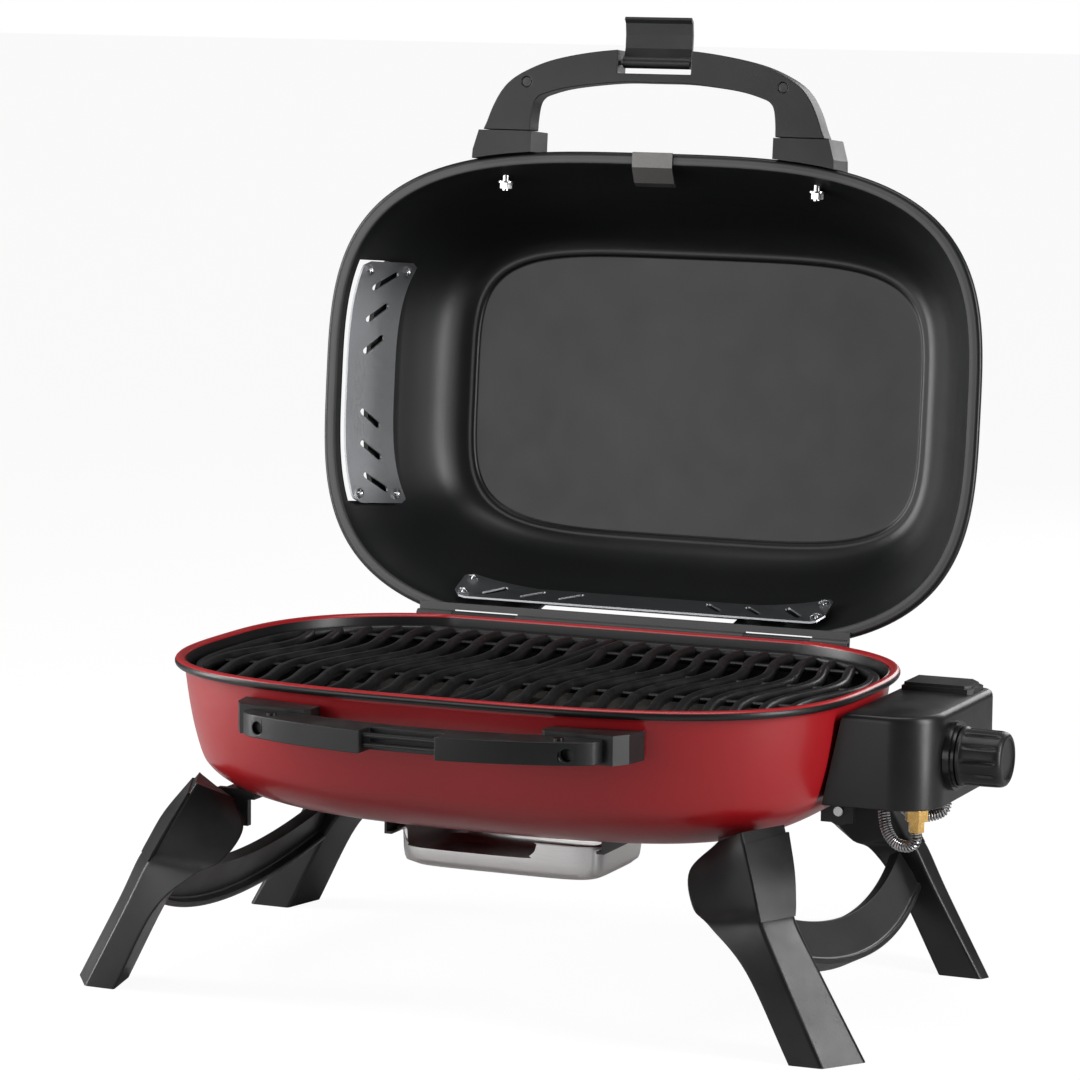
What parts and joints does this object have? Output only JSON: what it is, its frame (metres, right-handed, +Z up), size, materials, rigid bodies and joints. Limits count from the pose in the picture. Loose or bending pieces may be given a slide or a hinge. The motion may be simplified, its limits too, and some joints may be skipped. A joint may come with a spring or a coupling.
{
  "type": "portable gas grill",
  "caption": "Portable red gas grill with an open hinged lid, cast iron grids, folding black leg frames, a side control box and a slide-out steel drip tray",
  "frame": {"origin": "on the ground, below the middle of the whole object's plan box", "axes": "+X towards the control box, +Y to the back, +Z up"},
  "size_m": [0.7411, 0.6223, 0.7792],
  "materials": {
    "enamel_red": "gloss red enamel outside, satin black inside",
    "black_steel": "satin black painted steel",
    "flange_steel": "satin grey painted steel",
    "bright_steel": "bright plated steel",
    "brushed_steel": "brushed stainless steel",
    "black_plastic": "fine-grained black moulded plastic",
    "box_plastic": "satin black moulded plastic",
    "knob_plastic": "satin black moulded plastic",
    "gloss_plastic": "gloss black moulded plastic",
    "cast_aluminium": "as cast",
    "brass": "machined brass",
    "ceramic": "white glazed insulator",
    "cast_iron": "black enamelled cast iron"
  },
  "bodies": {
    "base": {"cookbox": "enamel_red", "grid_rests": "black_steel", "hinge_leaf_base": "black_steel", "hinge_rod": "bright_steel", "base_grip": "black_plastic", "base_shoes": "black_plastic", "base_rods": "black_plastic", "base_screws": "bright_steel", "control_box": "box_plastic", "box_cap": "box_plastic", "box_bracket": "black_steel", "knob_bezel": "gloss_plastic", "valve_body": "cast_aluminium", "gas_nuts": "brass", "gas_line_a": "bright_steel", "gas_line_b": "bright_steel", "burner_outer": "brushed_steel", "burner_inner": "brushed_steel", "burner_posts": "brushed_steel", "sear_plates": "brushed_steel", "igniters": "ceramic", "leg_brackets": "black_steel", "leg_pins": "bright_steel", "tray_rails": "black_steel"},
    "lid": {"lid_shell": "enamel_red", "lid_rim_band": "flange_steel", "hinge_leaf_lid": "flange_steel", "vent_plate_left": "brushed_steel", "vent_plate_rear": "brushed_steel", "vent_screws": "bright_steel", "lid_grip": "black_plastic", "lid_shoes": "black_plastic", "lid_bolts": "bright_steel", "lid_screws": "bright_steel", "rim_clip": "brushed_steel", "latch_pin": "bright_steel"},
    "latch": {"lid_latch": "black_plastic"},
    "left_legs": {"left_leg_frame": "black_plastic", "left_leg_caps": "black_plastic"},
    "right_legs": {"right_leg_frame": "black_plastic", "right_leg_caps": "black_plastic"},
    "tray": {"drip_tray": "brushed_steel"},
    "knob": {"control_knob": "knob_plastic", "valve_stem": "bright_steel"},
    "left_grid": {"grid_left": "cast_iron"},
    "right_grid": {"grid_right": "cast_iron"}
  },
  "joints": [
    {"name": "lid_hinge", "type": "hinge", "parent": "base", "child": "lid", "pos_m": [-0.0315, 0.152, 0.2614], "axis": [-1, 0, 0], "range_deg": [-95.1, 0]},
    {"name": "latch_hinge", "type": "hinge", "parent": "lid", "child": "latch", "pos_m": [-0.0315, 0.20142, 0.74091], "axis": [-1, 0, 0], "range_deg": [-90, 15]},
    {"name": "left_fold", "type": "hinge", "parent": "base", "child": "left_legs", "pos_m": [-0.2535, -0.044, 0.138], "axis": [0, 1, 0], "range_deg": [-100, 0]},
    {"name": "right_fold", "type": "hinge", "parent": "base", "child": "right_legs", "pos_m": [0.1905, -0.036, 0.138], "axis": [0, -1, 0], "range_deg": [-100, 0]},
    {"name": "tray_slide", "type": "slide", "parent": "base", "child": "tray", "axis": [0, -1, 0], "range_m": [0, 0.1]},
    {"name": "knob_turn", "type": "hinge", "parent": "base", "child": "knob", "pos_m": [0.3385, -0.049, 0.2155], "axis": [1, 0, 0], "range_deg": [0, 200]},
    {"name": "left_grid_lift", "type": "slide", "parent": "base", "child": "left_grid", "axis": [0, 0, 1], "range_m": [0, 0.12]},
    {"name": "right_grid_lift", "type": "slide", "parent": "base", "child": "right_grid", "axis": [0, 0, 1], "range_m": [0, 0.12]}
  ]
}
